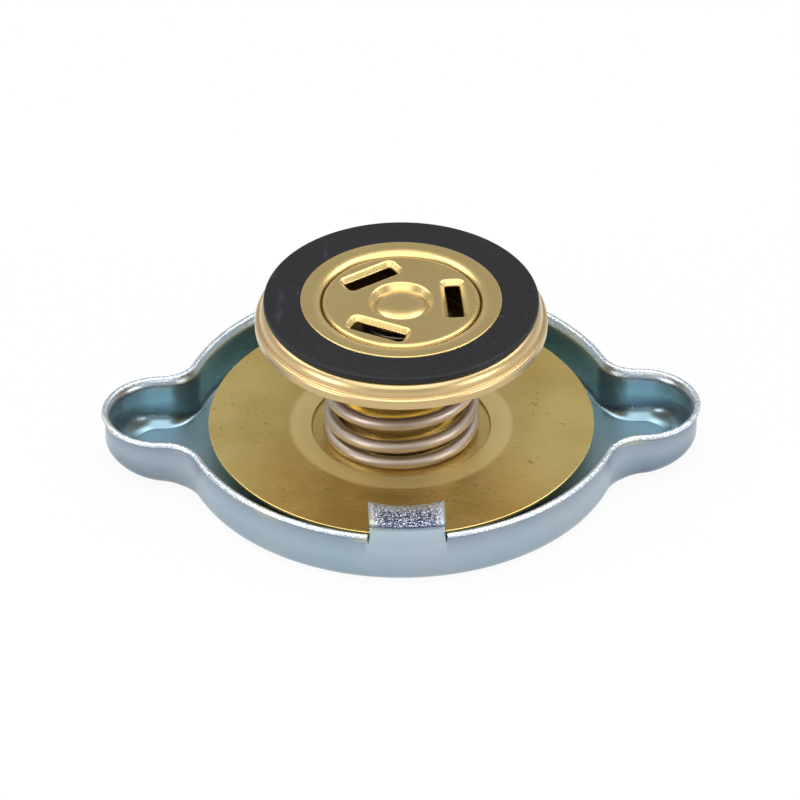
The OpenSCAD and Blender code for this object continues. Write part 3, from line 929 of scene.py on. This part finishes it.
SLOT_TURNS = [math.radians(SLOT_TURN + 360 * i / SLOT_COUNT) for i in range(SLOT_COUNT)]


def turned(x, y, t):
    """Point turned about the middle by an angle in radians."""
    return x * math.cos(t) - y * math.sin(t), x * math.sin(t) + y * math.cos(t)


def slot_distance(x, y, t):
    """Distance of a point from the edge of the slot at an angle, less than 0 inside."""
    sx, sy = turned(x, y, -t)
    dx = abs(sx - SLOT_AT) - SLOT_W / 2 + SLOT_CORNER_R
    dy = abs(sy) - SLOT_L / 2 + SLOT_CORNER_R
    outside = math.hypot(max(dx, 0), max(dy, 0))
    return outside + min(max(dx, dy), 0) - SLOT_CORNER_R


def slot_loop(offset):
    """Rounded rectangle at a distance outside a slot's edge, with points along its sides."""
    w, h, r = SLOT_W / 2 - SLOT_CORNER_R, SLOT_L / 2 - SLOT_CORNER_R, SLOT_CORNER_R + offset
    centres = ((w, h), (-w, h), (-w, -h), (w, -h))
    corners = [arc(x, y, r, 90 * k, 90 * k + 90, 6) for k, (x, y) in enumerate(centres)]
    loop = []
    for k, corner in enumerate(corners):
        parts = SLOT_END_PARTS if k % 2 == 0 else SLOT_SIDE_PARTS
        first, last = Vector(corner[-1]), Vector(corners[(k + 1) % 4][0])
        loop += corner
        loop += [tuple(first.lerp(last, j / parts)) for j in range(1, parts)]
    return loop


def cover_level(x, y):
    """Level of the cover's upper face, with its dished slots, dimple, dome and rounded edge."""
    r = math.hypot(x, y)
    level = COVER_TOP
    edge = r - (COVER_R - COVER_EDGE_R)
    if edge > 0:
        level -= COVER_EDGE_R - math.sqrt(max(COVER_EDGE_R**2 - edge**2, 0))
    if r < DIMPLE_R + DIMPLE_REACH:
        bowl = eased_slope((DIMPLE_R - r) / (DIMPLE_R - DOME_R))
        dome = 1 - min(r / DOME_R, 1) ** DOME_POWER
        level += -DIMPLE_H * bowl + DOME_H * dome
    for t in SLOT_TURNS:
        level -= SLOT_SINK * eased_slope(1 - slot_distance(x, y, t) / SLOT_MARGIN)
    return level


def eased_slope(t):
    """Straight slope from 0 to 1 with a short rounding where it starts."""
    if t <= -SLOPE_EASE:
        return 0.0
    if t < SLOPE_EASE:
        return (t + SLOPE_EASE) ** 2 / (4 * SLOPE_EASE)
    return min(t, 1.0)


def cover_mesh():
    """Upper face of the cover with its slots cut out, and the skirt round it."""
    points, edges = [], []
    limit = COVER_R - COVER_FACE_INSET

    def add_loop(loop):
        first = len(points)
        for x, y in loop:
            p = Vector((x, y))
            if p.length > limit - COVER_EDGE_GAP:
                p = p.normalized() * (limit - COVER_EDGE_GAP)
            points.append(p)
        edges.extend((first + k, first + (k + 1) % len(loop)) for k in range(len(loop)))

    def circle(r, count):
        return arc(0, 0, r, 0, 360, count)[:-1]

    ring = list(range(COVER_SEGMENTS))
    points.extend(Vector(p) for p in circle(limit, COVER_SEGMENTS))
    edges.extend((k, (k + 1) % COVER_SEGMENTS) for k in ring)
    for r in DIMPLE_RINGS:
        add_loop(circle(r, DIMPLE_SEGMENTS))
    for inset in COVER_EDGE_RINGS:
        add_loop(circle(COVER_R - COVER_EDGE_R - inset, COVER_SEGMENTS))
    for t in SLOT_TURNS:
        for offset in SLOT_RINGS:
            add_loop([turned(x + SLOT_AT, y, t) for x, y in slot_loop(offset)])

    found, _, triangles, *_ = delaunay_2d_cdt(points, edges, [], 0, MERGE_DISTANCE)
    kept = []
    for triangle in triangles:
        middle = sum((found[k] for k in triangle), Vector((0, 0))) / len(triangle)
        if all(slot_distance(middle.x, middle.y, t) >= -SLOT_TOLERANCE for t in SLOT_TURNS):
            kept.append(tuple(triangle))
    verts = [(p.x, p.y, cover_level(p.x, p.y)) for p in found]

    edge_x, edge_z = COVER_R - COVER_EDGE_R, COVER_TOP - COVER_EDGE_R
    start = math.degrees(math.acos((limit - edge_x) / COVER_EDGE_R))
    skirt = arc(edge_x, edge_z, COVER_EDGE_R, start, 0, 8)[1:] + [(COVER_R, COVER_LOW)]
    for r, z in skirt:
        following = []
        for k in range(COVER_SEGMENTS):
            t = 2 * math.pi * k / COVER_SEGMENTS
            verts.append((r * math.cos(t), r * math.sin(t), z))
            following.append(len(verts) - 1)
        for k in range(COVER_SEGMENTS):
            n = (k + 1) % COVER_SEGMENTS
            kept.append((ring[k], following[k], following[n], ring[n]))
        ring = following
    return verts, kept


cover = piece("cover_sheet", *cover_mesh(), valve_brass, "valve", "slotted_cover", "valve_brass")
cover.data.set_sharp_from_angle(angle=PIECE_SHARP)
thickness = cover.modifiers.new("sheet", "SOLIDIFY")
thickness.thickness = COVER_T * MM
thickness.offset = -1
# The underside takes the darker brass, painted shade inside the valve
thickness.material_offset = 1
thickness.material_offset_rim = 0
cover.data.materials.append(tarnish_and_shade_brass)


# Vacuum spring and the CAD nodes that stay in view

verts, faces, places = helix(
    VACUUM_R, VACUUM_WIRE, VACUUM_LOW, VACUUM_TOP, VACUUM_PITCH, 0, sides=10, steps=40
)
vacuum_coil = piece(
    "vacuum_coil", verts, faces, wire_steel, "valve", "vacuum_spring", "spring_wire"
)
point_values(vacuum_coil.data, "wire", places)
vacuum_coil.data.set_sharp_from_angle(angle=PIECE_SHARP)
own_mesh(vacuum_coil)

# The stem and the vacuum valve inside take the darker brass, painted shade
shown = {
    "centre_rivet": zinc,
    "guide_tube": disc_brass,
    "valve_stem": tarnish_and_shade_brass,
    "vacuum_valve": tarnish_and_shade_brass,
    "vacuum_seal": rubber,
}
for name, material in shown.items():
    mesh = nodes[name].data
    mesh.materials.clear()
    mesh.materials.append(material)
    mesh.shade_smooth()
    mesh.set_sharp_from_angle(angle=CAD_SHARP)


# Stage, light and camera

FLOOR_SIZE = 6000.0
FLOOR_DROP = 0.1
FLOOR_GREY = 0.62
FLOOR_WHITE = 0.93
mesh = bpy.data.meshes.new("floor")
half = FLOOR_SIZE / 2 * MM
corners = [(-half, -half, 0), (half, -half, 0), (half, half, 0), (-half, half, 0)]
mesh.from_pydata(corners, [], [(0, 1, 2, 3)])
floor = bpy.data.objects.new("floor", mesh)
bpy.context.scene.collection.objects.link(floor)
floor.location.z = -FLOOR_DROP * MM
floor_material = bpy.data.materials.new("floor")
floor_material.use_nodes = True
tree = floor_material.node_tree
tree.nodes.clear()
matte = tree.nodes.new("ShaderNodeBsdfDiffuse")
matte.inputs["Color"].default_value = (FLOOR_GREY, FLOOR_GREY, FLOOR_GREY, 1)
glow = tree.nodes.new("ShaderNodeEmission")
blend = tree.nodes.new("ShaderNodeMixShader")
rays = tree.nodes.new("ShaderNodeLightPath").outputs
seen = rays["Is Camera Ray"]
for kind in ("Is Glossy Ray", "Is Transmission Ray"):
    either = tree.nodes.new("ShaderNodeMath")
    either.operation = "MAXIMUM"
    tree.links.new(seen, either.inputs[0])
    tree.links.new(rays[kind], either.inputs[1])
    seen = either.outputs[0]
share = tree.nodes.new("ShaderNodeMath")
share.operation = "MULTIPLY"
share.inputs[1].default_value = FLOOR_WHITE
tree.links.new(seen, share.inputs[0])
tree.links.new(share.outputs[0], blend.inputs[0])
tree.links.new(matte.outputs[0], blend.inputs[1])
tree.links.new(glow.outputs[0], blend.inputs[2])
output = tree.nodes.new("ShaderNodeOutputMaterial")
tree.links.new(blend.outputs[0], output.inputs["Surface"])
mesh.materials.append(floor_material)

# Grey sky: height and brightness there
SKY_LEVELS = ((0.0, 0.7), (0.2, 0.65), (0.45, 0.5), (0.7, 0.42), (1.0, 0.5))
world = bpy.data.worlds.new("studio")
bpy.context.scene.world = world
world.use_nodes = True
tree = world.node_tree
tree.nodes.clear()
coordinate = tree.nodes.new("ShaderNodeTexCoord")
parts = tree.nodes.new("ShaderNodeSeparateXYZ")
tree.links.new(coordinate.outputs["Generated"], parts.inputs[0])
dome = tree.nodes.new("ShaderNodeValToRGB")
tree.links.new(parts.outputs["Z"], dome.inputs["Fac"])
while len(dome.color_ramp.elements) < len(SKY_LEVELS):
    dome.color_ramp.elements.new(1.0)
for element, (position, level) in zip(dome.color_ramp.elements, SKY_LEVELS):
    element.position = position
    element.color = (level, level, level, 1)
sky = tree.nodes.new("ShaderNodeBackground")
tree.links.new(dome.outputs["Color"], sky.inputs["Color"])
output = tree.nodes.new("ShaderNodeOutputWorld")
tree.links.new(sky.outputs[0], output.inputs["Surface"])


def softbox(name, place, size, power):
    """Rectangular area lamp that faces the spring's seat; place and size in metres."""
    lamp = bpy.data.lights.new(name, "AREA")
    lamp.shape = "RECTANGLE"
    lamp.size, lamp.size_y = size
    lamp.energy = power
    obj = bpy.data.objects.new(name, lamp)
    obj.location = place
    facing = Vector(place) - Vector((0, 0, SEAT_Z * MM))
    obj.rotation_mode = "QUATERNION"
    obj.rotation_quaternion = facing.to_track_quat("Z", "Y")
    bpy.context.scene.collection.objects.link(obj)


softbox("top_light", place=(0.0, -0.22, 0.83), size=(1.0, 1.1), power=7.0)
softbox("left_light", place=(-0.55, 0.2, 0.72), size=(0.4, 0.5), power=2.4)
softbox("right_light", place=(0.55, 0.2, 0.72), size=(0.4, 0.5), power=2.4)
softbox("left_front_light", place=(-0.7, -0.42, 0.2), size=(0.3, 0.3), power=2.5)
softbox("right_front_light", place=(0.7, -0.42, 0.2), size=(0.3, 0.3), power=2.1)

CAMERA_AZIMUTH = -1.6
CAMERA_ELEVATION = 35.42
CAMERA_DISTANCE = 1500.0
CAMERA_LENS = 440.0
CAMERA_SENSOR = 36.0
TARGET_RIGHT = -0.184
TARGET_UP = 3.07
azimuth, elevation = math.radians(CAMERA_AZIMUTH), math.radians(CAMERA_ELEVATION)
right = Vector((math.cos(azimuth), math.sin(azimuth), 0))
back = Vector(
    (
        math.sin(azimuth) * math.cos(elevation),
        -math.cos(azimuth) * math.cos(elevation),
        math.sin(elevation),
    )
)
up = back.cross(right)
target = Vector((0, 0, DISC_TOP)) + right * TARGET_RIGHT + up * TARGET_UP
lens = bpy.data.cameras.new("camera")
lens.lens = CAMERA_LENS
lens.sensor_width = CAMERA_SENSOR
camera = bpy.data.objects.new("camera", lens)
camera.location = (target + back * CAMERA_DISTANCE) * MM
camera.rotation_mode = "QUATERNION"
camera.rotation_quaternion = back.to_track_quat("Z", "Y")
bpy.context.scene.collection.objects.link(camera)
bpy.context.scene.camera = camera
bpy.context.scene.view_settings.view_transform = "Standard"
